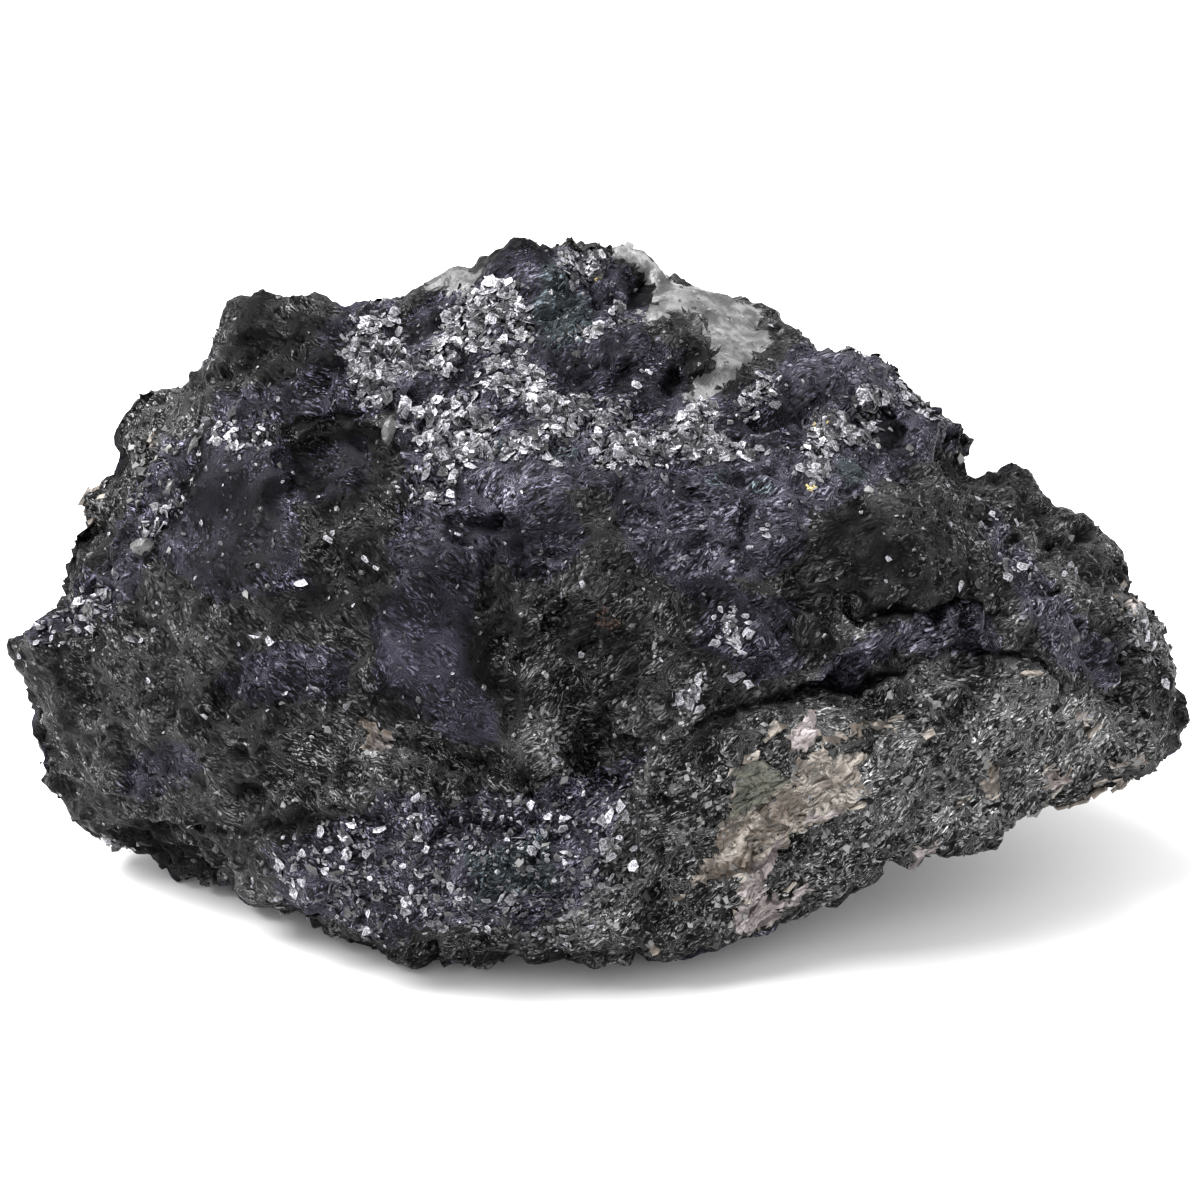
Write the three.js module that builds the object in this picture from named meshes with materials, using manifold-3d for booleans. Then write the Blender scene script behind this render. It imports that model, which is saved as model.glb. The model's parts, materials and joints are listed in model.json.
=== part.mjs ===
// A rough lump of massive skutterudite in its gangue, as broken from the vein: one stone, one solid.
// It is long and wedge-ended, about 118 mm from end to end, with a tilted top face, a scooped left shoulder,
// a smooth blade-like facet low on the front, a heavy foot that it rests on, and a right wing whose underside
// rises clear of the table. Lengths are in millimetres. +X is to the right, +Y away from the front, +Z up.
import * as THREE from "three";
import { ConvexHull } from "three/addons/math/ConvexHull.js";
import { ImprovedNoise } from "three/addons/math/ImprovedNoise.js";
import { TessellateModifier } from "three/addons/modifiers/TessellateModifier.js";
import { mergeVertices } from "three/addons/utils/BufferGeometryUtils.js";
import Module from "manifold-3d";

// The stone is surveyed from in front and above. A point of the survey is [across, up, toward]: across and
// up are as the eye sees them on an upright plane through the stone's middle, and toward is its depth.
const EYE_DISTANCE = 450;
const EYE_ANGLE = THREE.MathUtils.degToRad(25);
const MIDDLE_HEIGHT = 29;

// How finely the broken skin is drawn over the survey, and its relief.
const LONGEST_EDGE = 3.8;
const WEAR = 0.5;
const WEAR_ROUNDS = 2;
const LUMPS = { size: 13, height: 0.9 };
const CHIPS = { size: 5.5, height: 0.55 };

// The outline, clockwise from the tip of the left end.
const outline = [
  // the left end and the stepped edge up to the shoulder
  [-58.5, -4, -3], [-55.2, 1, -3], [-53.2, 5.2, -4], [-54.4, 7.8, -4], [-52.2, 11, -4], [-48.6, 14.6, -4],
  [-49.2, 18.8, -3], [-46.5, 22.9, -3], [-41.6, 22.8, -2], [-38.5, 25, -1], [-38.4, 27.1, -1], [-36, 30.5, 0],
  // the shoulder's flat top, the pale knob behind the saddle, and the crest
  [-32, 30.8, 0], [-25.5, 30.4, 1], [-19, 31.2, 0], [-16.5, 34.4, -2], [-13.3, 35, -1], [-12, 35.8, 0],
  [-9.6, 36.8, 1], [-6.8, 37, 1], [-5.4, 36.6, 1], [-3.2, 38.4, 1], [-0.8, 37.8, 1], [4.2, 35.2, -1],
  [7.5, 33.2, -1], [11, 31.6, -1],
  // the long slope down to the right, with its two notches
  [17, 29.8, 0], [20.2, 27.6, 0.5], [22, 25.6, 1], [25.6, 25.3, 1.5], [29.3, 21.6, 1], [34, 19.4, 0.5],
  [37, 16.8, 0], [37.4, 13.9, -1], [41, 14.2, -3], [45.4, 10.4, -3], [50.1, 7, -4], [52.6, 2.5, -5],
  [56.2, -0.6, -7], [56.4, -4, -7],
  // the right tip and the rising underside of the wing
  [60.2, -10.2, -5], [58.2, -14.8, -4], [52, -18.4, -2], [43.5, -21.7, 0], [38.5, -23.9, 2], [33, -25.1, 3.5],
  [29, -26.7, 5], [24.5, -27.9, 6.5],
  // the foot, and the undercut left flank back to the tip
  [20, -29.9, 8], [14.8, -32.7, 9.5], [9, -33, 10.5], [4, -34.3, 11], [-2, -36.5, 12], [-10, -36.6, 12],
  [-20, -34.3, 7.5], [-31, -31.2, 0.5], [-36.5, -29.6, -2.5], [-41, -26.5, -8], [-51.5, -23.2, -12.5],
  [-56.2, -19.4, -8], [-58.2, -16, -5], [-57, -11.2, -3.5], [-58.2, -7.2, -4],
];

// The forms of the front, each by the points where its broken faces meet.
const front = {
  shoulder: [
    [-36, 29, 4], [-30, 29, 6], [-37.5, 25, 6], [-34, 22.5, 12], [-28, 25, 11], [-27, 21, 13],
  ],
  shoulderShelf: [[-37, 18, 13], [-32, 17, 16], [-27, 19.5, 15]],
  scoopBrow: [[-33, 15, 17], [-30.5, 17.5, 17], [-27, 18.8, 16.5], [-23, 18.5, 17]],
  scoop: [[-30.5, 16, 13.5], [-26.5, 16.8, 12.5], [-23.5, 16, 14], [-28, 12.5, 16]],
  scoopRim: [[-21.5, 20, 17], [-20.5, 16, 19], [-21.5, 11, 20.5], [-30, 7, 19], [-25, 7, 20.5]],
  leftFace: [[-39, 13, 12], [-39.5, 7, 13], [-34, 10, 16.5], [-34, 2, 18.5], [-40, 1, 15.5]],
  leftEdge: [[-39.5, 22, 6], [-40, 17, 9], [-40.5, 10, 11], [-42.5, 3, 12], [-49, -4, 9.5], [-54, -8, 4]],
  leftFlank: [[-45, 17, 3], [-47, 10, 3], [-44, 8, 6.5], [-49, 3, 4], [-54, -2, 1]],
  lowerLeft: [
    [-50, -10, 7.5], [-50, -18, 1], [-43, -5, 13.5], [-43, -12, 12], [-43, -20, 5], [-36, -5, 17],
    [-35, -12, 17], [-36, -20, 12], [-40, -25, -1], [-51, -22, -6],
  ],
  belowBlade: [
    [-27, -2, 20], [-27, -10, 19], [-28, -18, 17.5], [-25, -9, 18], [-21.5, -13, 16.5], [-15, -17, 16.5],
    [-10, -19, 17], [-21, -17, 18], [-31, -21.5, 15],
  ],
  blade: [
    [-21.5, -1, 23], [-14, 3, 25], [-23, -5, 22.5], [-18, -10, 22], [-11, -15, 20.5], [-11, -4, 24.5],
    [-9.5, -13, 20.5],
  ],
  topFace: [
    [-25.5, 27, 8], [-20, 29, 4], [-15, 26, 9.5], [-12, 30, 6.5], [-4, 31, 6.5], [-4, 25, 12], [4, 31, 4],
    [14, 27, 5], [19, 22, 8], [26, 21, 9], [33, 17, 6.5], [-17, 18, 17.5], [-8, 18, 18.5], [2, 19, 17],
    [12, 16, 17.5], [22, 15, 16.5], [30, 14, 13.5],
  ],
  veinHollow: [
    [8.5, 27, 11.2], [11, 25, 10.5], [6.5, 25, 10.5], [10, 23.3, 10], [7, 23, 10.2], [9, 21.3, 12.5],
    [5, 22, 13],
  ],
  slot: [[26, 18.2, 11], [29.5, 17, 10]],
  brow: [
    [-25, 21.5, 13.5], [-20.5, 19.5, 16.5], [-20, 14, 20.5], [-17, 10, 23.5], [-6, 10, 25.5], [4, 11, 24.5],
    [14, 10, 23.5], [22, 9, 22], [27, 10, 20], [36, 10, 12.5],
  ],
  frontMiddle: [
    [-17, 6, 24], [-8, 4, 24], [-5, 0.5, 24.5], [-1, 3, 26], [4, 6, 26.5], [0, -1, 22.5], [-4, -3, 22.5],
    [-4, -9, 19], [-5.5, -12.5, 19], [-5.5, -17, 16.5], [1, -5, 22], [0.5, -9, 21.5], [-0.5, -14.5, 15],
    [3.5, -13.5, 20], [0, -17, 18.5], [5, 0, 24.5], [5, -5, 24], [5, -10, 22.5], [10, 4, 24.5], [16, 4, 24],
    [10, -4, 24], [18, -4, 23.5], [13, -8.8, 21],
  ],
  darkLump: [[24, 6, 22.5], [30, 7.5, 22], [36, 5, 18.5], [33, 1, 22], [27, 1, 23], [39, 0, 15]],
  underLump: [[22.5, 0, 20], [26, -2, 18], [33, -1.5, 17], [40, -2.5, 12.5]],
  crackShelf: [
    [25, -4.5, 21], [30, -3.5, 20.5], [38, -3.5, 16], [44, -5.5, 11], [19, -8.6, 20], [25, -7.6, 18.5],
    [30.5, -5.4, 18], [37, -5, 15.5],
  ],
  lowerRight: [
    [8, -13.5, 21], [13, -11.8, 23], [19, -11, 23], [26, -10, 22.5], [31, -7.8, 22], [37, -7, 19.5],
    [42, -7.5, 16], [48, -9, 9.5], [54, -10, 3.5], [18, -14, 22.5], [26, -14, 22], [34, -12, 20],
    [16, -19, 20], [25, -19, 18.5], [35, -17, 14], [45, -16, 8], [53, -16, 2], [10, -21, 18], [8, -27, 17],
    [16, -27, 14.5], [25, -25, 11.5], [35, -23, 6.5],
  ],
  rightWing: [[40, 10, 6], [46, 6, 5], [40, 4, 10.5], [46, 0, 8.5], [50, 0, 4.5], [51, -5, 5.5], [55, -6, 1]],
  footShelf: [
    [-35, -25, 7.5], [-30, -23, 15], [-20, -20.5, 21], [-12, -20.5, 21], [-5, -20, 20], [2, -18, 20.5],
  ],
  foot: [
    [-31, -27, 10.5], [-25, -26, 18], [-17, -25, 23], [-8, -26, 23], [0, -25, 21.5], [-20, -31, 17.5],
    [-10, -32, 18], [0, -32, 17], [9, -31, 14.5],
  ],
};

// The back and the underside, which the front view hides, as [right, back, height] in the stone's own frame.
const behind = {
  upperBack: [[-27, 19, 50], [-12, 24, 53], [0, 27, 54], [10, 22, 53], [20, 23, 45], [30, 19, 42]],
  backFace: [
    [-43, 13, 40], [-36, 25, 38], [-25, 31, 36], [-10, 33, 42], [5, 36, 37], [18, 33, 39], [30, 30, 32],
    [42, 20, 30],
  ],
  backLedge: [[-30, 31, 26], [-14, 35, 28], [2, 32, 27], [16, 36, 24], [30, 31, 21]],
  ends: [[-51, 9, 25], [-50, 12, 17], [-49, 8, 6], [51, 9, 22], [46, 16, 17], [52, 3, 13]],
  lowBack: [[-36, 24, 14], [-22, 28, 12], [-6, 32, 14], [10, 29, 9], [26, 25, 12]],
  underside: [
    [-42, 8, 3], [-36, 1, 0.5], [-33, 12, 5], [-22, -2, -1], [-17, -11, -0.8], [-19, 8, -1], [-21, 18, 4],
    [-8, 13, -1], [-8, 22, 4], [-8, 2, -1.5], [2, 0, -1.5], [5, -15, -0.8], [5, 12, -1], [8, 21, 4],
    [13, 0, -1], [12, -11, -0.8], [19, 13, 5], [23, 1, 4.5], [22, -10, 3.5], [38, 6, 10], [30, 18, 8],
  ],
};

// From the survey to the stone's own frame, and back.
function seen([across, up, toward]) {
  const nearer = 1 - toward / EYE_DISTANCE;
  return turned(new THREE.Vector3(across * nearer, up * nearer, toward));
}

function turned(p) {
  return new THREE.Vector3(
    p.x,
    p.y * Math.sin(EYE_ANGLE) - p.z * Math.cos(EYE_ANGLE),
    MIDDLE_HEIGHT + p.y * Math.cos(EYE_ANGLE) + p.z * Math.sin(EYE_ANGLE),
  );
}

// Where the eye sees a point of the stone's own frame, on the survey's plane.
function asSeen(p) {
  const height = p.z - MIDDLE_HEIGHT;
  const up = height * Math.cos(EYE_ANGLE) + p.y * Math.sin(EYE_ANGLE);
  const toward = height * Math.sin(EYE_ANGLE) - p.y * Math.cos(EYE_ANGLE);
  const nearer = 1 - toward / EYE_DISTANCE;
  return new THREE.Vector2(p.x / nearer, up / nearer);
}

function inside(polygon, p) {
  let odd = false;
  polygon.forEach((a, i) => {
    const b = polygon[(i + 1) % polygon.length];
    const crosses = a.y > p.y !== b.y > p.y;
    if (crosses && p.x < a.x + ((p.y - a.y) * (b.x - a.x)) / (b.y - a.y)) odd = !odd;
  });
  return odd;
}

// Joins points into the flattest triangles as the eye sees them: lifted onto a bowl, their Delaunay triangles
// are the lower side of the convex hull. Each triangle comes with its corners anticlockwise to the eye.
function faceted(points, rim) {
  const flat = points.map(asSeen);
  const bowl = flat.map((p) => new THREE.Vector3(p.x, p.y, p.lengthSq()));
  const triangles = [];
  for (const face of new ConvexHull().setFromPoints(bowl).faces) {
    if (face.normal.z >= 0) continue;
    const corners = [face.edge.tail(), face.edge.head(), face.edge.next.head()].map((v) =>
      bowl.indexOf(v.point),
    );
    const middle = new THREE.Vector2();
    corners.forEach((i) => middle.addScaledVector(flat[i], 1 / 3));
    if (inside(rim, middle)) triangles.push(corners.reverse().map((i) => points[i]));
  }
  return triangles;
}

// The closed cage of flat faces that the survey gives.
function cage() {
  const edge = outline.map(seen);
  const rim = edge.map(asSeen);
  const near = faceted([...edge, ...Object.values(front).flat().map(seen)], rim);
  const hidden = Object.values(behind).flat().map((p) => new THREE.Vector3(...p));
  const far = faceted([...edge, ...hidden], rim).map((t) => t.reverse());
  return new THREE.BufferGeometry().setFromPoints([...near, ...far].flat());
}

const noise = new ImprovedNoise();

// Relief at a point: broad lumps, and sharper chips whose crests are ridges.
function relief(p) {
  const lump = noise.noise(p.x / LUMPS.size, p.y / LUMPS.size, p.z / LUMPS.size);
  const chip = noise.noise(p.x / CHIPS.size, p.z / CHIPS.size, p.y / CHIPS.size + 7);
  return LUMPS.height * lump * 2 + CHIPS.height * (1 - 4 * Math.abs(chip));
}

// Moves every vertex by a share of the way to the middle of its neighbours.
function evened(geometry, share) {
  const { position } = geometry.attributes;
  const corners = geometry.index.array;
  const sums = Array.from({ length: position.count }, () => new THREE.Vector3());
  const counts = new Array(position.count).fill(0);
  corners.forEach((corner, i) => {
    const next = corners[i % 3 === 2 ? i - 2 : i + 1];
    sums[corner].add(new THREE.Vector3().fromBufferAttribute(position, next));
    counts[corner] += 1;
  });
  sums.forEach((sum, i) => {
    const p = new THREE.Vector3().fromBufferAttribute(position, i);
    p.lerp(sum.divideScalar(counts[i]), share);
    position.setXYZ(i, p.x, p.y, p.z);
  });
}

// The cage with its long edges split and its sharpest creases worn. Each round evens the skin and then swells
// it back, so that it keeps its size. Last, each vertex moves by the relief, along the normal there.
function skin() {
  const geometry = mergeVertices(new TessellateModifier(LONGEST_EDGE, 12).modify(cage()));
  for (let round = 0; round < WEAR_ROUNDS; round++) {
    evened(geometry, WEAR);
    evened(geometry, -WEAR);
  }
  geometry.computeVertexNormals();
  const { position, normal } = geometry.attributes;
  for (let i = 0; i < position.count; i++) {
    const p = new THREE.Vector3().fromBufferAttribute(position, i);
    const n = new THREE.Vector3().fromBufferAttribute(normal, i);
    p.addScaledVector(n, relief(p));
    position.setXYZ(i, p.x, p.y, p.z);
  }
  return geometry;
}

const wasm = await Module();
wasm.setup();

function solidFrom(geometry) {
  return new wasm.Manifold(
    new wasm.Mesh({
      numProp: 3,
      vertProperties: new Float32Array(geometry.attributes.position.array),
      triVerts: new Uint32Array(geometry.index.array),
    }),
  );
}

function geometryFrom(solid) {
  const mesh = solid.getMesh();
  const geometry = new THREE.BufferGeometry()
    .setAttribute("position", new THREE.BufferAttribute(new Float32Array(mesh.vertProperties), 3))
    .setIndex(new THREE.BufferAttribute(new Uint32Array(mesh.triVerts), 1));
  geometry.computeVertexNormals();
  return geometry;
}

// Everything below the table's plane is taken off, which leaves the flat spot that the stone rests on.
function levelled(geometry) {
  const span = 400;
  const below = new THREE.BoxGeometry(span, span, span).translate(0, 0, -span / 2);
  below.deleteAttribute("normal");
  below.deleteAttribute("uv");
  return geometryFrom(solidFrom(geometry).subtract(solidFrom(mergeVertices(below))));
}

// The origin is under the middle of the stone's box, on the plane that it rests on.
function centred(geometry) {
  geometry.computeBoundingBox();
  const middle = geometry.boundingBox.getCenter(new THREE.Vector3());
  return geometry.translate(-middle.x, -middle.y, 0);
}

const ore = new THREE.MeshStandardMaterial({ color: 0x3c3c42, roughness: 0.55, metalness: 0.35 });

const rock = new THREE.Mesh(centred(levelled(skin())), ore);
rock.name = "skutterudite_rock";

const specimen = new THREE.Group();
specimen.name = "skutterudite";
specimen.add(rock);

export default specimen;
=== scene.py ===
import json
import math

import bpy
import numpy as np
from mathutils import Matrix, Vector

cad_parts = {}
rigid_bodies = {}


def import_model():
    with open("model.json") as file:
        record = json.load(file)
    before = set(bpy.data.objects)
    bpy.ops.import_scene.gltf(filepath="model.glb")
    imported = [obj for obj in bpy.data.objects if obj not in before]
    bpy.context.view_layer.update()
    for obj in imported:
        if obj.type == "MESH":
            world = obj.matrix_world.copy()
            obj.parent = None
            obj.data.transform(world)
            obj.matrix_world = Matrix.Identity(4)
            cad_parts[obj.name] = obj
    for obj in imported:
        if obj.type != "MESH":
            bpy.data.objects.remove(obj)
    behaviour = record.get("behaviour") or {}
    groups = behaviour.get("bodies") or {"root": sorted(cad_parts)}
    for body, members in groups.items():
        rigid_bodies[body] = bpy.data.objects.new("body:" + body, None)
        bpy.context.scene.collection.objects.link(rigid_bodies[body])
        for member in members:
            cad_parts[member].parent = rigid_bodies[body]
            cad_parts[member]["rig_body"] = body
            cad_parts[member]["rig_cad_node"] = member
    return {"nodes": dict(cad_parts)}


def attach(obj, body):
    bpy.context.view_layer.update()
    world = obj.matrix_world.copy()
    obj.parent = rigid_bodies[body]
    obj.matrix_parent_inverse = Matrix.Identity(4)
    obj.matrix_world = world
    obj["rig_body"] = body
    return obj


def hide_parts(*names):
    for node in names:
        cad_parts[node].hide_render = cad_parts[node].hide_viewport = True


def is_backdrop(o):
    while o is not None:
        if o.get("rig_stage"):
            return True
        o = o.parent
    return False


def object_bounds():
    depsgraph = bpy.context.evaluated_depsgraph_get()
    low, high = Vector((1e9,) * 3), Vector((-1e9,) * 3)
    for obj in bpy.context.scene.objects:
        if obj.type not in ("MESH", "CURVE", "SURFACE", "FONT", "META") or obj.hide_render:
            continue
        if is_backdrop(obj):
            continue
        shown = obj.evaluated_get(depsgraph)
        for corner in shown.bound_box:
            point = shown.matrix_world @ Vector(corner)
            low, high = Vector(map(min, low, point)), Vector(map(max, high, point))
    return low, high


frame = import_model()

cad_low, cad_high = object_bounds()

# The table, the camera and the light.
# The stone lies on a plain white table and is seen from in front and above. A broad soft light hangs over
# its left, and the white room and table light the front.
MM = 0.001
EYE_DISTANCE = 450 * MM
EYE_ANGLE = math.radians(25)
FRAME_WIDTH = 120 * MM
SENSOR_WIDTH = 36
MIDDLE = Vector((-0.6, -1, 29)) * MM
TO_RIGHT = Vector((1, 0, 0))
TO_TOP = Vector((0, math.sin(EYE_ANGLE), math.cos(EYE_ANGLE)))
TO_EYE = Vector((0, -math.cos(EYE_ANGLE), math.sin(EYE_ANGLE)))

bpy.ops.object.select_all(action="DESELECT")
bpy.ops.mesh.primitive_plane_add(size=6)
table = bpy.context.object
table.name = "table"
table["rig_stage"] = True
paint = bpy.data.materials.new("white_table")
paint.use_nodes = True
paint.node_tree.nodes["Principled BSDF"].inputs["Base Color"].default_value = (0.88, 0.88, 0.88, 1)
paint.node_tree.nodes["Principled BSDF"].inputs["Roughness"].default_value = 0.6
table.data.materials.append(paint)

bpy.ops.object.camera_add(location=MIDDLE + TO_EYE * EYE_DISTANCE)
camera = bpy.context.object
camera.rotation_euler = TO_EYE.to_track_quat("Z", "Y").to_euler()
camera.data.sensor_width = SENSOR_WIDTH
camera.data.lens = SENSOR_WIDTH * EYE_DISTANCE / FRAME_WIDTH
camera.data.clip_start = 10 * MM
bpy.context.scene.camera = camera


def soft_light(name, place, size, watts):
    """A square area light at a place in metres, turned to the stone."""
    bpy.ops.object.light_add(type="AREA", location=place)
    light = bpy.context.object
    light.name = name
    light.rotation_euler = (Vector(place) - MIDDLE).to_track_quat("Z", "Y").to_euler()
    light.data.size = size
    light.data.energy = watts


soft_light("overhead_left", (-0.4, -0.02, 0.72), 0.6, 19.0)

room = bpy.data.worlds.new("white_room")
room.use_nodes = True
room.node_tree.nodes["Background"].inputs["Color"].default_value = (1, 1, 1, 1)
room.node_tree.nodes["Background"].inputs["Strength"].default_value = 1.4
bpy.context.scene.world = room
bpy.context.scene.view_settings.view_transform = "Standard"

# The stone's skin.
# One lump of massive skutterudite in its gangue, broken from the vein with a hammer. Its skin is the CAD
# solid's, remeshed finely. The next sections give it its kinds of stone, its relief and its finish.
SKIN_CELL = 0.34 * MM


def only(thing):
    """Selects one object and nothing else, and makes it active."""
    bpy.ops.object.select_all(action="DESELECT")
    thing.select_set(True)
    bpy.context.view_layer.objects.active = thing


only(frame["nodes"]["skutterudite_rock"])
bpy.ops.object.duplicate()
stone = bpy.context.object
stone.name = "broken_stone"
stone.parent = None
stone.matrix_world = Matrix.Identity(4)
stone.data.name = "broken_stone"
stone.data.materials.clear()
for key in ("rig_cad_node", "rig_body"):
    if key in stone:
        del stone[key]
bpy.ops.object.mode_set(mode="EDIT")
bpy.ops.mesh.select_all(action="SELECT")
bpy.ops.mesh.remove_doubles(threshold=0.001 * MM)
bpy.ops.object.mode_set(mode="OBJECT")
remesh = stone.modifiers.new("fine_skin", "REMESH")
remesh.mode = "VOXEL"
remesh.voxel_size = SKIN_CELL
remesh.use_smooth_shade = True
bpy.ops.object.modifier_apply(modifier="fine_skin")


def read(elements, attribute):
    """A vector of each element of a mesh, such as its place, as an array."""
    values = np.empty(len(elements) * 3)
    elements.foreach_get(attribute, values)
    return values.reshape(-1, 3)


def on_survey(points):
    """Where the eye sees points, across and up in mm on an upright plane through the stone's middle."""
    away = points - np.array(MIDDLE)
    nearer = 1 - away @ np.array(TO_EYE) / EYE_DISTANCE
    return np.stack([away @ np.array(TO_RIGHT), away @ np.array(TO_TOP)], 1) / nearer[:, None] / MM


def random_of(cell, seed):
    """Three even random numbers of 0 to 1 for each whole-numbered cell of space."""
    whole = cell.astype(np.int64) & 0xFFFFFFFF
    code = (whole[:, 0] * 73856093) ^ (whole[:, 1] * 19349663) ^ (whole[:, 2] * 83492791)
    code ^= seed * 2654435761
    numbers = []
    for turn in range(3):
        code = ((code ^ (code >> 13)) * 1274126177 + turn * 374761393) & 0xFFFFFFFF
        code = code ^ (code >> 16)
        numbers.append(code / 0xFFFFFFFF)
    return np.stack(numbers, 1)


def grains(points, seed):
    """For points in units of the grain size: the way to the nearest grain's middle, its random numbers, and
    how much farther off the next grain is, which is 0 on the border."""
    home = np.floor(points)
    best = np.full(len(points), 1e9)
    second = best
    way = np.zeros_like(points)
    numbers = np.zeros_like(points)
    for step in np.ndindex(3, 3, 3):
        cell = home + np.array(step) - 1
        chance = random_of(cell, seed)
        there = cell + chance - points
        far = np.linalg.norm(there, axis=1)
        nearer = far < best
        second = np.where(nearer, best, np.minimum(second, far))
        best = np.where(nearer, far, best)
        way[nearer] = there[nearer]
        numbers[nearer] = chance[nearer]
    return way, numbers, second - best


def waves(points, seed):
    """Smooth noise of about -1 to 1, with lumps one unit across."""
    home = np.floor(points)
    inside = points - home
    ease = inside * inside * (3 - 2 * inside)
    total = np.zeros(len(points))
    for corner in np.ndindex(2, 2, 2):
        weight = np.prod(np.where(np.array(corner) == 1, ease, 1 - ease), axis=1)
        total += weight * (random_of(home + np.array(corner), seed)[:, 0] * 2 - 1)
    return total


def eased(values, low, high):
    """0 below low, 1 above high, and a smooth rise between them."""
    share = np.clip((values - low) / (high - low), 0, 1)
    return share * share * (3 - 2 * share)


skin = stone.data
places = read(skin.vertices, "co")
normals = read(skin.vertices, "normal")
rooms = places / MM
seen = on_survey(places)
front = eased(normals @ np.array(TO_EYE), -0.1, 0.15)

# What the stone is made of, place by place.
# Dark violet-grey ore alternates with olive-grey rock, and both carry pale gangue, mica, quartz and calcite.
# A place is [across, up] in mm, as the eye sees it. The hidden side has the same kinds in random patches.
wander = np.stack([waves(rooms / 3, 21), waves(rooms / 3, 22)], 1)
wander += 0.4 * np.stack([waves(rooms / 0.9, 23), waves(rooms / 0.9, 24)], 1)
ragged = seen + wander * 0.9


def way_to(line, points, closed=True):
    """How far points are from a line of places, and which points lie inside it when it is closed."""
    corners = np.array(line, float)
    nearest = np.full(len(points), 1e9)
    odd = np.zeros(len(points), bool)
    sides = list(zip(corners, np.roll(corners, -1, axis=0)))
    if not closed:
        sides.pop()
    for a, b in sides:
        along = np.clip(((points - a) @ (b - a)) / ((b - a) @ (b - a)), 0, 1)
        nearest = np.minimum(nearest, np.linalg.norm(points - a - along[:, None] * (b - a), axis=1))
        crosses = (a[1] > points[:, 1]) != (b[1] > points[:, 1])
        rise = b[1] - a[1] if b[1] != a[1] else 1e-9
        reach = a[0] + (points[:, 1] - a[1]) * (b[0] - a[0]) / rise
        odd ^= crosses & (points[:, 0] < reach)
    return nearest, odd


def area(outlines, soft=0.8):
    """1 inside any of several outlines on the side that faces the eye, 0 outside, with a soft edge in mm."""
    inner = np.zeros(len(ragged))
    for outline in outlines:
        nearest, odd = way_to(outline, ragged)
        inner = np.maximum(inner, eased(np.where(odd, nearest, -nearest), -soft, soft))
    return inner * front


def spots(list_of_spots):
    """The sum of soft ovals, each [across, up, half length, half width, turn in degrees, strength]."""
    total = np.zeros(len(ragged))
    for across, up, length, width, turn, strength in list_of_spots:
        c, s = math.cos(math.radians(turn)), math.sin(math.radians(turn))
        x, y = (ragged - (across, up)).T
        far = np.hypot((x * c + y * s) / length, (y * c - x * s) / width)
        total += strength * (1 - eased(far, 0.45, 1.35))
    return total * front


def hidden(size, seed, low, high):
    """Random patches of a size in mm on the side that the eye doesn't see."""
    patches = waves(rooms / size, seed) + 0.4 * waves(rooms / size * 3, seed + 50)
    return (1 - front) * eased(patches, low, high)


violet = area([
    [(-39.5, 21.5), (-30, 22.8), (-26.5, 30), (-20, 30), (-20, 20), (-23.5, 18), (-30, 19.5), (-33.5, 17),
     (-39, 16)],
    [(-39, 17), (-32, 16), (-30, 14.5), (-23.5, 16), (-23, 12), (-27, 10), (-30, 9), (-30, 4), (-29, 1),
     (-38.5, 0), (-43.5, 4), (-42.5, 10)],
    [(-44, 17), (-40, 16), (-41.5, 10), (-46, 1), (-54, -5), (-57, -4), (-54, 0), (-49, 4), (-49, 8)],
    [(-20, 27), (-13, 32), (-8, 36), (0, 35), (5, 31), (4, 27), (8, 25), (9, 20), (16, 22), (20, 25.5),
     (27, 25.5), (36, 19), (36, 15), (29, 12), (26, 10), (21, 9), (20, 4), (10, 0), (4, 4), (1, 11),
     (-4, 10), (-20, 10)],
    [(-21, 10), (-4, 10), (-1, 6), (-6, 1), (-10, 4), (-13, 1), (-13, -5), (-10, -14), (-16, -14),
     (-23, -7), (-23, -2), (-20, 3)],
    [(10, 1), (20, 0), (20, -7), (15, -8), (9, -4)],
    [(22, -6), (29, -2.5), (41, -1), (41, -5), (28, -6), (25, -9), (22, -9)],
    [(38.5, 10), (41.5, 7), (46, 0), (52.5, -5), (52, -10), (47.5, -7), (44, -4), (40, 4)],
    [(-39, -8), (-34, -4), (-26, -5), (-25, -9), (-35, -11)],
    [(-48, -16), (-42, -14), (-40, -17), (-45, -20), (-48, -19)],
    [(-34, -25), (-20, -20), (-7, -19), (4, -15), (2, -20), (0, -28), (-4, -32), (-13, -33), (-20, -34),
     (-31, -30)],
]) + hidden(16, 31, -0.15, 0.15)
teal = area([
    [(-6, 34), (-3, 33.5), (-1, 30), (-0.5, 27), (-3, 25), (-5.5, 26), (-6.5, 30)],
    [(-14, -25), (-5, -23), (-5, -29), (-10, -30), (-13, -28)],
], 1.2) + spots([
    (25, 12.5, 1.6, 1.6, 0, 0.8), (12, 12, 1.3, 1, 0, 0.7), (16, 11, 1.3, 1, 0, 0.7),
    (-9, 14.5, 1.4, 1.6, 0, 0.7), (-4, 14.5, 1.4, 1, 0, 0.7),
])
green = area([
    [(12.4, -21.2), (13.6, -17.6), (15.6, -15.6), (18.8, -17.2), (19.6, -18.8), (18, -20), (16, -21.2),
     (14, -21.6)],
], 0.7)
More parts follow.
